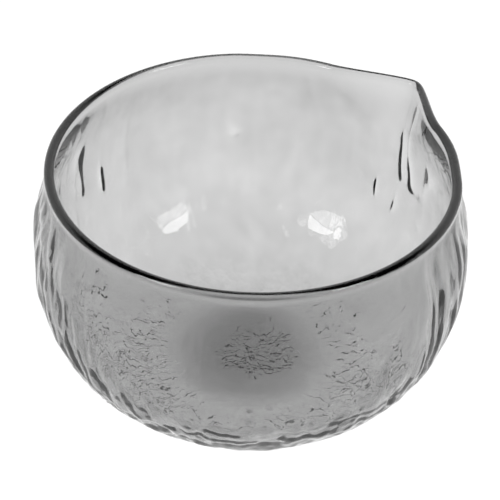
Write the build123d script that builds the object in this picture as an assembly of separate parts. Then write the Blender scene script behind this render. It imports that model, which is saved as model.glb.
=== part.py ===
from build123d import *

import math
import os

# Blown-glass mixing bowl with one pulled pouring lip, all of it one piece of glass.
# Millimetres. The origin is the centre of the flat foot, +Z is up, the lip points along +X.

# Outside of the body
foot_r = 31.5
belly_r = 74.5
belly_z = 49.0
height = 87.0
rim_r = 70.0

# The lean from the belly in to the rim: part of a cosine wave, stretched towards the rim
lean_power = 1.8
lean_turn = math.radians(186.0)

# Glass thickness. The floor rises to a low mound over the middle of the foot, and the
# inside of the wall has a slight shoulder below the rim.
wall = 3.0
floor_thick = 3.9
inner_floor_r = 33.0
mound_height = 4.7
mound_top_r = 7.0
shoulder = 0.65
shoulder_power = 2.0

# Fire-polished rim: a round bead, a little thicker than the wall below it
bead_d = 3.5

# Pouring lip: a pointed push of the wall that fades out lower down and droops at its tip,
# with a pinch on each side
lip_reach = 12.3
lip_droop = 2.1
lip_half_angle = math.radians(22.3)
lip_foot_share = 0.45
lip_power = 1.75
lip_tip_rounding = 0.09
lip_foot_z = 56.0
pinch_depth = 0.5
pinch_angle = math.radians(43.6)
pinch_width = math.radians(7.9)

# Level curves that the glass surface is lofted through
points_round = 96
crowding = 0.76
mound_steps = 6
side_steps = 8
lean_steps = 10
bead_steps = 12
lean_crowding = 1.7

bead_z = height - bead_d / 2


def smooth_step(x):
    x = min(max(x, 0.0), 1.0)
    return x * x * (3.0 - 2.0 * x)


def lip_push(away, rise):
    # How far the lip pushes the wall out at this angle from its middle.
    half = lip_half_angle * (lip_foot_share + (1.0 - lip_foot_share) * rise)
    share = math.hypot(away / half, lip_tip_rounding) - lip_tip_rounding
    full = math.hypot(1.0, lip_tip_rounding) - lip_tip_rounding
    return rise * lip_reach * max(0.0, 1.0 - share / full) ** lip_power


def level_curve(radius, z):
    # A closed curve round the bowl. Its points crowd towards the lip, at angle zero.
    rise = smooth_step((z - lip_foot_z) / (bead_z - lip_foot_z))
    points = []
    for k in range(points_round):
        even = 2.0 * math.pi * k / points_round
        a = even - crowding * math.sin(even)
        away = abs(math.remainder(a, 2.0 * math.pi))
        push = lip_push(away, rise)
        pinch = rise * pinch_depth * math.exp(-(((away - pinch_angle) / pinch_width) ** 2))
        r = radius + push - pinch
        points.append((r * math.cos(a), r * math.sin(a), z - lip_droop * push / lip_reach))
    stations = [k / points_round for k in range(points_round + 1)]
    return Wire([Edge.make_spline(points, periodic=True, parameters=stations)])


def mound_line():
    # Radius and height down the mound on the inner floor, level at both ends.
    line = []
    for k in range(mound_steps + 1):
        share = k / mound_steps
        r = mound_top_r + (inner_floor_r - mound_top_r) * share
        line.append((r, floor_thick + mound_height * (1.0 + math.cos(math.pi * share)) / 2.0))
    return line


def side_line(low_r, low_z, wide_r, top_r, top_z, swelling):
    # Radius and height up one side: a quarter ellipse from the floor to the belly, then a
    # lean in to the rim, which can carry a swelling towards the axis.
    line = []
    for k in range(side_steps + 1):
        t = math.pi / 2 * k / side_steps
        r = low_r + (wide_r - low_r) * math.sin(t)
        z = low_z + (belly_z - low_z) * (1.0 - math.cos(t))
        line.append((r, z))
    for k in range(1, lean_steps + 1):
        share = 1.0 - (1.0 - k / lean_steps) ** lean_crowding
        t = lean_turn * share**lean_power
        r = wide_r - (wide_r - top_r) * (1.0 - math.cos(t)) / (1.0 - math.cos(lean_turn))
        r -= swelling * math.sin(math.pi * share**shoulder_power) ** 2
        line.append((r, belly_z + (top_z - belly_z) * share))
    return line


def bead_line(meet_angle):
    # Over the top of the rim, from where the bead meets the wall's outside to its inside.
    line = []
    for k in range(bead_steps + 1):
        t = meet_angle + (math.pi - 2.0 * meet_angle) * k / bead_steps
        r = rim_r - bead_d / 2 * (1.0 - math.cos(t))
        line.append((r, bead_z + bead_d / 2 * math.sin(t)))
    return line


def skin(line):
    return Shell.make_loft([level_curve(r, z) for r, z in line]).faces()


def glass_bowl():
    # The wall meets the bead a little below the bead's own centre.
    meet_angle = -math.acos(wall / bead_d)
    meet_z = bead_z + bead_d / 2 * math.sin(meet_angle)
    top_r = rim_r - (bead_d - wall) / 2
    outside = side_line(foot_r, 0.0, belly_r, top_r, meet_z, 0.0)
    inside = side_line(inner_floor_r, floor_thick, belly_r - wall, top_r - wall, meet_z, shoulder)
    mound = mound_line()
    foot = Face(level_curve(*outside[0]))
    mound_top = Face(level_curve(*mound[0]))
    skins = skin(outside) + skin(bead_line(meet_angle)) + skin(inside) + skin(mound)
    return Solid(Shell([foot, *skins, mound_top]))


os.makedirs("parts", exist_ok=True)
export_step(glass_bowl(), "parts/glass_bowl.step")
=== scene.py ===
import math

import bpy
import numpy as np
from mathutils import Matrix, Vector, noise


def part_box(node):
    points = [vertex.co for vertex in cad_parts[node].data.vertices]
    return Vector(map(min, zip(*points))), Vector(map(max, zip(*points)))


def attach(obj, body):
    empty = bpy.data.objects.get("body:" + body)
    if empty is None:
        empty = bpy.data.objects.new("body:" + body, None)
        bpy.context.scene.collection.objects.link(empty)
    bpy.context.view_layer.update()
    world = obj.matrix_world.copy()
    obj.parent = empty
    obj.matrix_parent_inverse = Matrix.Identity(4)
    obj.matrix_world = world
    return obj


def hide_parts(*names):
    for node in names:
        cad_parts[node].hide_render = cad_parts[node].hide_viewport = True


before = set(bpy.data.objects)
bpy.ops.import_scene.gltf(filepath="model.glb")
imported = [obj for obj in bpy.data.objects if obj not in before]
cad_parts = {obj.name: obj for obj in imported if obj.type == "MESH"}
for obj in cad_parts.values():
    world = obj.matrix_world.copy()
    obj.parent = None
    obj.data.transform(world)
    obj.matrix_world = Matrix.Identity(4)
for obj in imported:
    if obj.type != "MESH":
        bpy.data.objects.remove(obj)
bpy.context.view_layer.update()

# A smoked blown-glass mixing bowl. Metres, in the CAD frame: the foot's centre is the origin,
# +Z is up and the lip points along +X.
MM = 0.001

# Without a seed of its own, the vector noise would differ from run to run
NOISE_SEED = 4
noise.seed_set(NOISE_SEED)

# ---------------------------------------------------------------- the bowl's form, as the CAD has it
HIGH_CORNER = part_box("glass_bowl")[1]
HEIGHT = HIGH_CORNER.z
BELLY_R = HIGH_CORNER.y
BELLY_Z = 49.0 * MM
FOOT_R = 31.5 * MM
RIM_R = 70.0 * MM
LEAN_POWER = 1.8
LEAN_TURN = math.radians(186.0)
WALL = 3.0 * MM
FLOOR_THICK = 3.9 * MM
INNER_FLOOR_R = 33.0 * MM
MOUND_HEIGHT = 4.7 * MM
MOUND_TOP_R = 7.0 * MM
SHOULDER = 0.65 * MM
SHOULDER_POWER = 2.0
BEAD_D = 3.5 * MM
BEAD_Z = HEIGHT - BEAD_D / 2

LIP_REACH = 12.3 * MM
LIP_DROOP = 2.1 * MM
LIP_HALF_ANGLE = math.radians(22.3)
LIP_FOOT_SHARE = 0.45
LIP_POWER = 1.75
LIP_TIP_ROUNDING = 0.09
LIP_FOOT_Z = 56.0 * MM
PINCH_DEPTH = 0.5 * MM
PINCH_ANGLE = math.radians(43.6)
PINCH_WIDTH = math.radians(7.9)

# ---------------------------------------------------------------- columns and rings of the glass mesh
OUTER_COLUMNS = 640
INNER_COLUMNS = OUTER_COLUMNS // 2
MIDDLE_COLUMNS = OUTER_COLUMNS // 4
MARK_RINGS = 38
FOOT_RINGS = 2
SIDE_RINGS = 82
LEAN_RINGS = 20
BEAD_RINGS = 8
INNER_LEAN_RINGS = 22
INNER_SIDE_RINGS = 32
MOUND_RINGS = 10
# Columns stand closer together under the lip and on the side with the most wrinkles
CROWD_SAMPLES = 4096
CROWD_ANGLE = math.radians(160.0)
CROWD_SPREAD = math.radians(60.0)
CROWD_SHARE = 1.4
LIP_CROWD_SPREAD = math.radians(16.0)
LIP_CROWD_SHARE = 0.8

# ---------------------------------------------------------------- relief pressed into the outside
# The relief gathers in a slanting band round the lower wall. A place's slant is the share of its
# outward direction that points along this axis. The fixed vectors added inside the noise calls
# only give each kind of relief its own part of the noise.
SLANT_AXIS = Vector((-0.557, -0.557, 0.616))
# Broad bark-like ripples, strongest on one side and at the heel, and faint on the back wall
RIPPLE_DEPTH = 1.25 * MM
RIPPLE_ACROSS = 5.5 * MM
RIPPLE_ALONG = 20.0 * MM
RIPPLE_WANDER = 0.8
RIPPLE_WANDER_RATE = 0.33
RIPPLE_FINE = 0.3
RIPPLE_FINE_RATE = 2.2
RIPPLE_SLANT = 0.34
RIPPLE_SLANT_SPREAD = 0.22
RIPPLE_ANGLE = math.radians(160.0)
RIPPLE_SPREAD = math.radians(50.0)
RIPPLE_OTHER_SIDE = 0.8
RIPPLE_EVERYWHERE = 0.02
RIPPLE_BACK = 0.35
RIPPLE_BACK_ANGLE = math.radians(45.0)
RIPPLE_BACK_SPREAD = math.radians(60.0)
RIPPLE_HEEL = 0.8
RIPPLE_HEEL_Z = 4.0 * MM
RIPPLE_HEEL_RISE = 5.0 * MM
# Long smooth furrows. Each place has its angle and spread in degrees, and its lowest height in mm
FURROW_DEPTH = 1.15 * MM
FURROW_ACROSS = 10.0 * MM
FURROW_ALONG = 75.0 * MM
FURROW_WIDTH = 0.13
FURROW_TURN = math.radians(8.0)
FURROW_SWAY_SIZE = 14.0 * MM
FURROW_SWAY = 0.10
FURROW_PATCH_SIZE = 15.0 * MM
FURROW_PATCH_SHARE = 2.5
FURROW_PLACE_SHARE = 1.9
FURROW_ELSEWHERE = -1.2
FURROW_PLACES = ((-83.0, 23.0, 18.0), (-8.0, 14.0, 36.0), (111.0, 9.0, 38.0))
FURROW_FADE = 12.0 * MM
# Small curled wrinkles low down. Each place has its angle and spread in degrees, its height and
# the spread of that in mm, and its strength
WRINKLE_DEPTH = 1.85 * MM
WRINKLE_SIZE = 2.4 * MM
WRINKLE_CURL = 2.6
WRINKLE_CURL_RATE = 0.9
WRINKLE_PLACES = ((144.0, 29.0, 15.0, 7.0, 1.0), (-62.0, 18.0, 6.0, 6.0, 0.55))
WRINKLE_LOW_Z = 6.5 * MM
WRINKLE_LOW = 0.30
WRINKLE_EVERYWHERE = 0.03
# Level folds round the front, over the heel and weaker on it
FOLD_DEPTH = 0.85 * MM
FOLD_ACROSS = 3.2 * MM
FOLD_WAVES_ROUND = 3.5
FOLD_SWAY_SIZE = 9.0 * MM
FOLD_SWAY = 0.8
FOLD_ANGLE = math.radians(-125.0)
FOLD_SPREAD = math.radians(48.0)
FOLD_Z = 25.0 * MM
FOLD_RISE = 5.5 * MM
FOLD_LOW = 0.5
FOLD_LOW_Z = 8.0 * MM
FOLD_LOW_RISE = 6.0 * MM
# The relief ends below the rim, where the glass was worked smooth
RELIEF_FULL_Z = 70.0 * MM
RELIEF_END_Z = 84.0 * MM
# Slow waves on the inside, and the rough scar that the pontil rod left under the foot
SWELL_DEPTH = 0.30 * MM
SWELL_SIZE = 26.0 * MM
WAVE_DEPTH = 0.27 * MM
WAVE_SIZE = 5.5 * MM
WAVE_ANGLE = math.radians(45.0)
WAVE_OTHER_SIDE = 0.3
WAVE_SIDE_TURN = 0.8
SCAR_CENTRE = Vector((3.7 * MM, -0.9 * MM))
SCAR_R = 16.5 * MM
SCAR_FULL = 0.6
SCAR_EDGE_SIZE = 7.0 * MM
SCAR_EDGE_WANDER = 0.35
SCAR_DEPTH = 0.75 * MM
SCAR_SIZE = 2.1 * MM
SCAR_CURL = 2.6
SCAR_CURL_RATE = 0.9
SCAR_LEVEL = 0.45
SCAR_ROUGH = 0.9
# The finely meshed disc that takes in the scar
MARK_R = 1.35 * SCAR_R


def smooth_step(x):
    """Zero up to 0, one from 1 on, and a soft rise between."""
    x = np.clip(x, 0.0, 1.0)
    return x * x * (3.0 - 2.0 * x)


def wrapped(angles):
    """Angles brought between minus and plus half a turn."""
    return np.mod(angles + math.pi, 2.0 * math.pi) - math.pi


def column_angles(columns):
    """The columns' angles, with the same places for every second or fourth of them."""
    fine = np.linspace(0.0, 2.0 * math.pi, CROWD_SAMPLES + 1)
    crowd = CROWD_SHARE * np.exp(-((wrapped(fine - CROWD_ANGLE) / CROWD_SPREAD) ** 2))
    crowd += LIP_CROWD_SHARE * np.exp(-((wrapped(fine) / LIP_CROWD_SPREAD) ** 2))
    filled = np.concatenate([[0.0], np.cumsum(1.0 + (crowd[1:] + crowd[:-1]) / 2.0)])
    return np.interp(np.arange(columns) / columns * filled[-1], filled, fine)


def lip_push(away, rise):
    """How far the lip pushes the wall out at these angles from its middle."""
    half = LIP_HALF_ANGLE * (LIP_FOOT_SHARE + (1.0 - LIP_FOOT_SHARE) * rise)
    share = np.hypot(away / half, LIP_TIP_ROUNDING) - LIP_TIP_ROUNDING
    full = math.hypot(1.0, LIP_TIP_ROUNDING) - LIP_TIP_ROUNDING
    return rise * LIP_REACH * np.maximum(0.0, 1.0 - share / full) ** LIP_POWER


def ring(radius, z, columns):
    """One closed level ring of points round the bowl, pushed out and drooping at the lip."""
    angles = column_angles(columns)
    away = np.abs(wrapped(angles))
    rise = smooth_step((z - LIP_FOOT_Z) / (BEAD_Z - LIP_FOOT_Z))
    push = lip_push(away, rise)
    r = radius + push - rise * PINCH_DEPTH * np.exp(-(((away - PINCH_ANGLE) / PINCH_WIDTH) ** 2))
    heights = z - LIP_DROOP * push / LIP_REACH
    return np.stack([r * np.cos(angles), r * np.sin(angles), heights], axis=1)


def rings_along(line, columns):
    """One ring for each radius and height of the line."""
    return np.stack([ring(radius, z, columns) for radius, z in line])


def side_line(low_r, low_z, wide_r, top_r, top_z, swelling, side_rings, lean_rings):
    """Radius and height up one side: a quarter ellipse to the belly, then a lean in to the rim."""
    line = []
    for k in range(side_rings + 1):
        t = math.pi / 2 * k / side_rings
        r = low_r + (wide_r - low_r) * math.sin(t)
        line.append((r, low_z + (BELLY_Z - low_z) * (1.0 - math.cos(t))))
    for k in range(1, lean_rings + 1):
        share = k / lean_rings
        t = LEAN_TURN * share**LEAN_POWER
        r = wide_r - (wide_r - top_r) * (1.0 - math.cos(t)) / (1.0 - math.cos(LEAN_TURN))
        r -= swelling * math.sin(math.pi * share**SHOULDER_POWER) ** 2
        line.append((r, BELLY_Z + (top_z - BELLY_Z) * share))
    return line


def bead_line(meet_angle):
    """Over the top of the rim, between the ends of the two sides."""
    line = []
    for k in range(1, BEAD_RINGS):
        t = meet_angle + (math.pi - 2.0 * meet_angle) * k / BEAD_RINGS
        line.append((RIM_R - BEAD_D / 2 * (1.0 - math.cos(t)), BEAD_Z + BEAD_D / 2 * math.sin(t)))
    return line


def mound_line():
    """Down the inner floor's mound, from its edge to the edge of its small flat top."""
    line = []
    for k in range(1, MOUND_RINGS + 1):
        share = 1.0 - k / MOUND_RINGS
        r = MOUND_TOP_R + (INNER_FLOOR_R - MOUND_TOP_R) * share
        line.append((r, FLOOR_THICK + MOUND_HEIGHT * (1.0 + math.cos(math.pi * share)) / 2.0))
    return line


def disc_line(inner_r, outer_r, z, rings):
    """Outwards over a flat ring, short of its outer edge."""
    return [(inner_r + (outer_r - inner_r) * k / rings, z) for k in range(rings)]


def normals_of(rings):
    """Outward normals of the smooth rings, from the way round and the way up."""
    around = np.roll(rings, -1, axis=1) - np.roll(rings, 1, axis=1)
    along = np.gradient(rings, axis=0)
    normals = np.cross(around, along)
    return normals / np.linalg.norm(normals, axis=2, keepdims=True)


def stretched(p, across, along):
    """A place scaled for noise that is drawn out upwards."""
    return Vector((p.x / across, p.y / across, p.z / along))


def gathered(angle, centre, spread):
    """One at the centre angle, and falling away on both sides of it."""
    off = math.remainder(angle - centre, 2.0 * math.pi) / spread
    return math.exp(-off * off)


def banded(value, centre, spread):
    """One at the centre value, and falling away on both sides of it."""
    off = (value - centre) / spread
    return math.exp(-off * off)


def ripple(p, angle, slant):
    """Bark-like ripples, as a share of their depth."""
    q = stretched(p, RIPPLE_ACROSS, RIPPLE_ALONG)
    shift = noise.noise_vector(q * RIPPLE_WANDER_RATE + Vector((7.3, 1.9, 4.1))) * RIPPLE_WANDER
    wave = noise.noise(q + shift)
    wave += RIPPLE_FINE * noise.noise(q * RIPPLE_FINE_RATE + shift + Vector((3.7, 8.2, 5.5)))
    side = gathered(angle, RIPPLE_ANGLE, RIPPLE_SPREAD)
    share = RIPPLE_OTHER_SIDE + (1.0 - RIPPLE_OTHER_SIDE) * side
    share *= banded(slant, RIPPLE_SLANT, RIPPLE_SLANT_SPREAD)
    share *= 1.0 + RIPPLE_HEEL * banded(p.z, RIPPLE_HEEL_Z, RIPPLE_HEEL_RISE)
    back = RIPPLE_BACK * gathered(angle, RIPPLE_BACK_ANGLE, RIPPLE_BACK_SPREAD)
    return (RIPPLE_EVERYWHERE + back + share) * wave


def furrow(p, angle):
    """Narrow dips along the zero lines of a long-drawn noise, as a share of their depth."""
    turned = angle - FURROW_TURN
    around = Vector((math.cos(turned), math.sin(turned), 0.0)) * BELLY_R / FURROW_ACROSS
    q = around + Vector((1.3, 5.2, 9.4 + p.z / FURROW_ALONG))
    line = noise.noise(q + noise.noise_vector(p / FURROW_SWAY_SIZE) * FURROW_SWAY)
    patch = noise.noise(p / FURROW_PATCH_SIZE + Vector((4.4, 2.6, 8.8)))
    share = patch * FURROW_PATCH_SHARE + FURROW_ELSEWHERE
    for at, spread, low_z in FURROW_PLACES:
        above = float(smooth_step((p.z - low_z * MM) / FURROW_FADE + 1.0))
        share += FURROW_PLACE_SHARE * gathered(angle, math.radians(at), math.radians(spread)) * above
    share = float(smooth_step(share))
    return -math.exp(-((line / FURROW_WIDTH) ** 2)) * share


def wrinkle(p, angle):
    """Curled wrinkles, as a share of their depth."""
    q = p / WRINKLE_SIZE
    curl = noise.noise_vector(q * WRINKLE_CURL_RATE) * WRINKLE_CURL
    crease = noise.noise(q + curl + Vector((6.1, 0.4, 3.3)))
    share = WRINKLE_EVERYWHERE + WRINKLE_LOW * banded(p.z, 0.0, WRINKLE_LOW_Z)
    for at, spread, z, rise, strength in WRINKLE_PLACES:
        near = gathered(angle, math.radians(at), math.radians(spread))
        near *= banded(p.z, z * MM, rise * MM)
        share += strength * near
    return min(1.0, share) * crease


def fold(p, angle):
    """Level folds, as a share of their depth."""
    sway = noise.noise(p / FOLD_SWAY_SIZE + Vector((1.1, 2.2, 3.3))) * FOLD_SWAY
    around = Vector((math.cos(angle), math.sin(angle), 0.0)) * FOLD_WAVES_ROUND
    q = around + Vector((0.0, 0.0, p.z / FOLD_ACROSS))
    share = banded(p.z, FOLD_Z, FOLD_RISE) + FOLD_LOW * banded(p.z, FOLD_LOW_Z, FOLD_LOW_RISE)
    share *= gathered(angle, FOLD_ANGLE, FOLD_SPREAD)
    return share * noise.noise(q + Vector((4.4, 0.0, sway)))


def relief_fade(z):
    """One up the wall, and down to nothing below the rim."""
    return 1.0 - float(smooth_step((z - RELIEF_FULL_Z) / (RELIEF_END_Z - RELIEF_FULL_Z)))


def pressed(rings):
    """The outside with its ripples, furrows, wrinkles and folds."""
    normals = normals_of(rings)
    out = rings.copy()
    for i, (row, row_normals) in enumerate(zip(rings, normals)):
        fade = relief_fade(row[:, 2].max())
        if fade <= 0.0:
            continue
        for j, point in enumerate(row):
            p = Vector(point)
            angle = math.atan2(p.y, p.x)
            slant = Vector(row_normals[j]).dot(SLANT_AXIS)
            height = RIPPLE_DEPTH * ripple(p, angle, slant) + FURROW_DEPTH * furrow(p, angle)
            height += WRINKLE_DEPTH * wrinkle(p, angle) + FOLD_DEPTH * fold(p, angle)
            out[i, j] += row_normals[j] * height * fade
    out[:, :, 2] = np.maximum(out[:, :, 2], 0.0)
    return out


def waved(rings):
    """The inside, which only waves slowly, most of all on the back wall."""
    normals = normals_of(rings)
    out = rings.copy()
    for i, row in enumerate(rings):
        fade = relief_fade(row[:, 2].max())
        for j, point in enumerate(row):
            p = Vector(point)
            facing = math.cos(math.atan2(p.y, p.x) - WAVE_ANGLE)
            side = float(smooth_step(0.5 + WAVE_SIDE_TURN * facing))
            share = WAVE_OTHER_SIDE + (1.0 - WAVE_OTHER_SIDE) * side
            height = WAVE_DEPTH * noise.noise(p / WAVE_SIZE + Vector((2.2, 6.1, 0.7)))
            height += SWELL_DEPTH * noise.noise(p / SWELL_SIZE + Vector((5.8, 3.1, 1.4)))
            out[i, j] += normals[i, j] * height * share * fade
    return out


def scar_depth(p):
    """How deep the pontil scar is at a point under the foot: rough, and never below the foot."""
    off = (p.xy - SCAR_CENTRE).to_3d()
    spread = noise.noise(off / SCAR_EDGE_SIZE + Vector((0.0, 0.0, 2.7)))
    edge = off.length / (SCAR_R * (1.0 + SCAR_EDGE_WANDER * spread))
    inside = 1.0 - float(smooth_step((edge - SCAR_FULL) / (1.0 - SCAR_FULL)))
    q = off / SCAR_SIZE
    curl = noise.noise_vector(q * SCAR_CURL_RATE) * SCAR_CURL
    rough = noise.noise(q + curl + Vector((0.0, 0.0, 8.1)))
    return SCAR_DEPTH * inside * max(0.0, SCAR_LEVEL + SCAR_ROUGH * rough)


def scarred(rings):
    """The middle of the foot, hollowed by the scar."""
    out = rings.copy()
    for i, row in enumerate(rings):
        for j, point in enumerate(row):
            out[i, j, 2] += scar_depth(Vector(point))
    return out


def joined_faces(first, first_count, second, second_count):
    """Faces between two rings of vertices with as many columns, or twice or half as many."""
    faces = []
    if first_count == second_count:
        for j in range(first_count):
            k = (j + 1) % first_count
            faces.append((first + j, first + k, second + k, second + j))
    elif first_count == 2 * second_count:
        for j in range(second_count):
            k = (j + 1) % second_count
            a, b, c = first + 2 * j, first + 2 * j + 1, first + (2 * j + 2) % first_count
            faces += [(a, b, second + j), (b, c, second + k), (b, second + k, second + j)]
    else:
        turned = joined_faces(second, second_count, first, first_count)
        faces = [tuple(reversed(face)) for face in turned]
    return faces


def closed_skin(name, rings, first_centre, last_centre):
    """A closed mesh from rings in order, with a fan to a centre point at both ends."""
    verts = [first_centre]
    faces = []
    starts = []
    for row in rings:
        starts.append(len(verts))
        verts += row.tolist()
    counts = [len(row) for row in rings]
    for i in range(len(rings) - 1):
        faces += joined_faces(starts[i], counts[i], starts[i + 1], counts[i + 1])
    for j in range(counts[0]):
        faces.append((0, starts[0] + (j + 1) % counts[0], starts[0] + j))
    last = len(verts)
    verts.append(last_centre)
    for j in range(counts[-1]):
        faces.append((last, starts[-1] + j, starts[-1] + (j + 1) % counts[-1]))
    mesh = bpy.data.meshes.new(name)
    mesh.from_pydata(verts, [], faces)
    mesh.shade_smooth()
    mesh.update()
    piece = bpy.data.objects.new(name, mesh)
    bpy.context.scene.collection.objects.link(piece)
    return piece


def glass_bowl():
    """One closed skin: the foot, the outside, the rim's bead, the inside and the floor's mound."""
    meet_angle = -math.acos(WALL / BEAD_D)
    meet_z = BEAD_Z + BEAD_D / 2 * math.sin(meet_angle)
    top_r = RIM_R - (BEAD_D - WALL) / 2
    mark_line = disc_line(MARK_R / MARK_RINGS, MARK_R, 0.0, MARK_RINGS)
    outer_line = side_line(FOOT_R, 0.0, BELLY_R, top_r, meet_z, 0.0, SIDE_RINGS, LEAN_RINGS)
    inner_line = side_line(INNER_FLOOR_R, FLOOR_THICK, BELLY_R - WALL, top_r - WALL, meet_z,
                           SHOULDER, INNER_SIDE_RINGS, INNER_LEAN_RINGS)
    mark = scarred(rings_along(mark_line[: MARK_RINGS // 2], MIDDLE_COLUMNS))
    mark_rim = scarred(rings_along(mark_line[MARK_RINGS // 2 :], INNER_COLUMNS))
    foot = rings_along(disc_line(MARK_R, FOOT_R, 0.0, FOOT_RINGS), INNER_COLUMNS)
    outside = pressed(rings_along(outer_line, OUTER_COLUMNS))
    bead = rings_along(bead_line(meet_angle), OUTER_COLUMNS)
    inside = waved(rings_along(inner_line[::-1], INNER_COLUMNS))
    mound = rings_along(mound_line(), MIDDLE_COLUMNS)
    rings = [*mark, *mark_rim, *foot, *outside, *bead, *inside, *mound]
    under = (0.0, 0.0, scar_depth(Vector((0.0, 0.0, 0.0))))
    mound_top = (0.0, 0.0, FLOOR_THICK + MOUND_HEIGHT)
    return closed_skin("rippled_glass_bowl", rings, under, mound_top)


# ---------------------------------------------------------------- materials
# Clear glass with a grey absorption in its depth
GLASS_IOR = 1.5
SMOKE_GREY = 0.5
SMOKE_PER_METRE = 154.0
# Orange peel over the whole skin, faint smears, and here and there a seed bubble under it
PEEL_SIZE = 3.2 * MM
PEEL_HEIGHT = 0.015 * MM
PEEL_DETAIL = 2.0
SMEAR_SIZE = 11.0 * MM
SMEAR_DETAIL = 4.0
SMEAR_FROM = 0.52
SMEAR_FULL = 0.75
SMEAR_ROUGHNESS = 0.015
SEED_CELL = 9.0 * MM
SEED_R = 0.045
SEED_RARE = 0.74
SEED_HEIGHT = 0.10 * MM


def math_node(nodes, links, operation, first, second):
    """A maths node on a link and either another link or a number."""
    node = nodes.new("ShaderNodeMath")
    node.operation = operation
    links.new(first, node.inputs[0])
    if isinstance(second, float):
        node.inputs[1].default_value = second
    else:
        links.new(second, node.inputs[1])
    return node.outputs["Value"]


def noise_value(nodes, links, place, size, detail):
    """A noise texture's value, for features of this size."""
    node = nodes.new("ShaderNodeTexNoise")
    node.inputs["Scale"].default_value = 1.0 / size
    node.inputs["Detail"].default_value = detail
    links.new(place, node.inputs["Vector"])
    return node.outputs["Fac"]


def seed_bubbles(nodes, links, place):
    """One at the middle of a seed bubble and zero outside it, with one in a few cells."""
    cells = nodes.new("ShaderNodeTexVoronoi")
    cells.inputs["Scale"].default_value = 1.0 / SEED_CELL
    links.new(place, cells.inputs["Vector"])
    near = nodes.new("ShaderNodeMapRange")
    near.interpolation_type = "SMOOTHSTEP"
    near.inputs["From Min"].default_value = SEED_R
    near.inputs["From Max"].default_value = 0.0
    links.new(cells.outputs["Distance"], near.inputs["Value"])
    chance = nodes.new("ShaderNodeSeparateXYZ")
    links.new(cells.outputs["Color"], chance.inputs["Vector"])
    chosen = math_node(nodes, links, "GREATER_THAN", chance.outputs["X"], SEED_RARE)
    return math_node(nodes, links, "MULTIPLY", near.outputs["Result"], chosen)


def smoked_glass():
    """Smoked clear glass. The bump's heights are in metres."""
    mat = bpy.data.materials.new("smoked_glass")
    mat.use_nodes = True
    nodes = mat.node_tree.nodes
    links = mat.node_tree.links
    shader = nodes["Principled BSDF"]
    shader.inputs["Base Color"].default_value = (1.0, 1.0, 1.0, 1.0)
    shader.inputs["IOR"].default_value = GLASS_IOR
    shader.inputs["Transmission Weight"].default_value = 1.0
    place = nodes.new("ShaderNodeTexCoord").outputs["Object"]
    smear = nodes.new("ShaderNodeMapRange")
    smear.inputs["From Min"].default_value = SMEAR_FROM
    smear.inputs["From Max"].default_value = SMEAR_FULL
    smear.inputs["To Max"].default_value = SMEAR_ROUGHNESS
    links.new(noise_value(nodes, links, place, SMEAR_SIZE, SMEAR_DETAIL), smear.inputs["Value"])
    links.new(smear.outputs["Result"], shader.inputs["Roughness"])
    peel = noise_value(nodes, links, place, PEEL_SIZE, PEEL_DETAIL)
    peel = math_node(nodes, links, "MULTIPLY", peel, PEEL_HEIGHT)
    seeds = math_node(nodes, links, "MULTIPLY", seed_bubbles(nodes, links, place), SEED_HEIGHT)
    bump = nodes.new("ShaderNodeBump")
    bump.inputs["Distance"].default_value = 1.0
    links.new(math_node(nodes, links, "ADD", peel, seeds), bump.inputs["Height"])
    links.new(bump.outputs["Normal"], shader.inputs["Normal"])
    smoke = nodes.new("ShaderNodeVolumeAbsorption")
    smoke.inputs["Color"].default_value = (SMOKE_GREY, SMOKE_GREY, SMOKE_GREY, 1.0)
    smoke.inputs["Density"].default_value = SMOKE_PER_METRE / (1.0 - SMOKE_GREY)
    links.new(smoke.outputs["Volume"], nodes["Material Output"].inputs["Volume"])
    return mat


def pale_floor():
    """A matt white ground that glows."""
    mat = bpy.data.materials.new("pale_floor")
    mat.use_nodes = True
    shader = mat.node_tree.nodes["Principled BSDF"]
    shader.inputs["Base Color"].default_value = (FLOOR_ALBEDO, FLOOR_ALBEDO, FLOOR_ALBEDO, 1.0)
    shader.inputs["Roughness"].default_value = FLOOR_ROUGHNESS
    shader.inputs["Specular IOR Level"].default_value = 0.0
    shader.inputs["Emission Color"].default_value = (1.0, 1.0, 1.0, 1.0)
    shader.inputs["Emission Strength"].default_value = FLOOR_GLOW
    return mat


# ---------------------------------------------------------------- studio
# The camera looks down at the bowl with the lip at its back right
VIEW_AZIMUTH = math.radians(-45.0)
VIEW_ELEVATION = math.radians(38.25)
VIEW_ROLL = math.radians(2.06)
VIEW_DISTANCE = 9.0 * RIM_R
VIEW_AIM_Z = 50.0 * MM
VIEW_AIM_RIGHT = -0.28 * MM
LENS_MM = 130.83
SENSOR_MM = 36.0
CLIP_START = 0.01
VIEW_RIGHT = Vector((math.cos(VIEW_AZIMUTH), math.sin(VIEW_AZIMUTH), 0.0))
VIEW_FORWARD = Vector((-math.sin(VIEW_AZIMUTH), math.cos(VIEW_AZIMUTH), 0.0))

# A glowing ground and a white far side and horizon
FLOOR_HALF = 12.0
FLOOR_DROP = 0.2 * MM
FLOOR_ALBEDO = 0.1
FLOOR_ROUGHNESS = 0.9
FLOOR_GLOW = 1.03
HORIZON_GLOW = 1.05
# A dark zone over and behind the camera, which the glass mirrors as black lines
DARK_GLOW = 0.02
GLOW_TOP = math.sin(math.radians(13.0))
DARK_FROM = math.sin(math.radians(23.0))
DARK_INNER = math.radians(66.0)
DARK_OUTER = math.radians(84.0)
DARK_ELEVATION = math.radians(52.0)
DARK_CENTRE = Vector((0.0, 0.0, math.sin(DARK_ELEVATION))) - VIEW_FORWARD * math.cos(DARK_ELEVATION)
# Round soft lights
BOX_SIZE = 0.50
BOX_DISTANCE = 1.3
BOX_RADIANCE = 6.5


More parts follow.
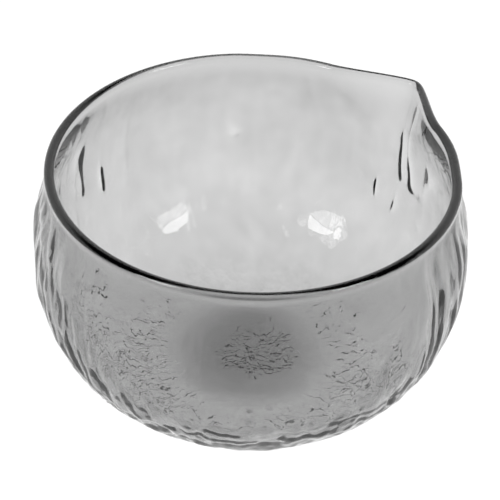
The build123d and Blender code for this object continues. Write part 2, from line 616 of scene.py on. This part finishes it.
def floor():
    """The ground, just under the foot."""
    mesh = bpy.data.meshes.new("floor")
    half = FLOOR_HALF
    z = -FLOOR_DROP
    corners = [(-half, -half, z), (half, -half, z), (half, half, z), (-half, half, z)]
    mesh.from_pydata(corners, [], [(0, 1, 2, 3)])
    mesh.materials.append(pale_floor())
    piece = bpy.data.objects.new("floor", mesh)
    bpy.context.scene.collection.objects.link(piece)


def smooth_range(nodes, links, value, low, high):
    """From 0 at the low value to 1 at the high one, with soft ends."""
    node = nodes.new("ShaderNodeMapRange")
    node.interpolation_type = "SMOOTHSTEP"
    node.inputs["From Min"].default_value = low
    node.inputs["From Max"].default_value = high
    links.new(value, node.inputs["Value"])
    return node.outputs["Result"]


def studio_world():
    """White low down and on the far side, dark over and behind the camera."""
    world = bpy.data.worlds.new("studio")
    world.use_nodes = True
    bpy.context.scene.world = world
    nodes = world.node_tree.nodes
    links = world.node_tree.links
    place = nodes.new("ShaderNodeTexCoord")
    parts = nodes.new("ShaderNodeSeparateXYZ")
    links.new(place.outputs["Generated"], parts.inputs["Vector"])
    facing = nodes.new("ShaderNodeVectorMath")
    facing.operation = "DOT_PRODUCT"
    facing.inputs[1].default_value = DARK_CENTRE
    links.new(place.outputs["Generated"], facing.inputs[0])
    height = smooth_range(nodes, links, parts.outputs["Z"], GLOW_TOP, DARK_FROM)
    outer, inner = math.cos(DARK_OUTER), math.cos(DARK_INNER)
    nearness = smooth_range(nodes, links, facing.outputs["Value"], outer, inner)
    dark = math_node(nodes, links, "MULTIPLY", height, nearness)
    glow = nodes.new("ShaderNodeMapRange")
    glow.inputs["To Min"].default_value = HORIZON_GLOW
    glow.inputs["To Max"].default_value = DARK_GLOW
    links.new(dark, glow.inputs["Value"])
    back = nodes["Background"]
    back.inputs["Color"].default_value = (1.0, 1.0, 1.0, 1.0)
    links.new(glow.outputs["Result"], back.inputs["Strength"])


def softbox(name, right, forward, up):
    """A round light that faces the bowl from this far to the viewer's right, forward and up."""
    direction = (VIEW_RIGHT * right + VIEW_FORWARD * forward + Vector((0.0, 0.0, up))).normalized()
    data = bpy.data.lights.new(name, "AREA")
    data.shape = "DISK"
    data.size = BOX_SIZE
    area = math.pi * BOX_SIZE * BOX_SIZE / 4.0
    data.energy = BOX_RADIANCE * math.pi * area
    lamp = bpy.data.objects.new(name, data)
    bpy.context.scene.collection.objects.link(lamp)
    turn = direction.to_track_quat("Z", "Y").to_matrix().to_4x4()
    lamp.matrix_world = Matrix.Translation(direction * BOX_DISTANCE) @ turn


def camera():
    """The camera, turned a little about its own line of sight."""
    data = bpy.data.cameras.new("camera")
    data.lens = LENS_MM
    data.sensor_width = SENSOR_MM
    data.clip_start = CLIP_START
    cam = bpy.data.objects.new("camera", data)
    bpy.context.scene.collection.objects.link(cam)
    back = Vector((0.0, 0.0, math.sin(VIEW_ELEVATION))) - VIEW_FORWARD * math.cos(VIEW_ELEVATION)
    up = back.cross(VIEW_RIGHT)
    roll_cos, roll_sin = math.cos(VIEW_ROLL), math.sin(VIEW_ROLL)
    axes = (VIEW_RIGHT * roll_cos + up * roll_sin, up * roll_cos - VIEW_RIGHT * roll_sin, back)
    place = Vector((0.0, 0.0, VIEW_AIM_Z)) + VIEW_RIGHT * VIEW_AIM_RIGHT + back * VIEW_DISTANCE
    cam.matrix_world = Matrix.Translation(place) @ Matrix(axes).transposed().to_4x4()
    bpy.context.scene.camera = cam


bpy.context.scene.view_settings.view_transform = "Standard"
bowl = glass_bowl()
bowl.data.materials.append(smoked_glass())
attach(bowl, "root")
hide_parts("glass_bowl")
floor()
studio_world()
softbox("softbox_right", right=0.62, forward=-0.45, up=0.45)
softbox("softbox_left", right=-0.54, forward=-0.50, up=0.46)
camera()
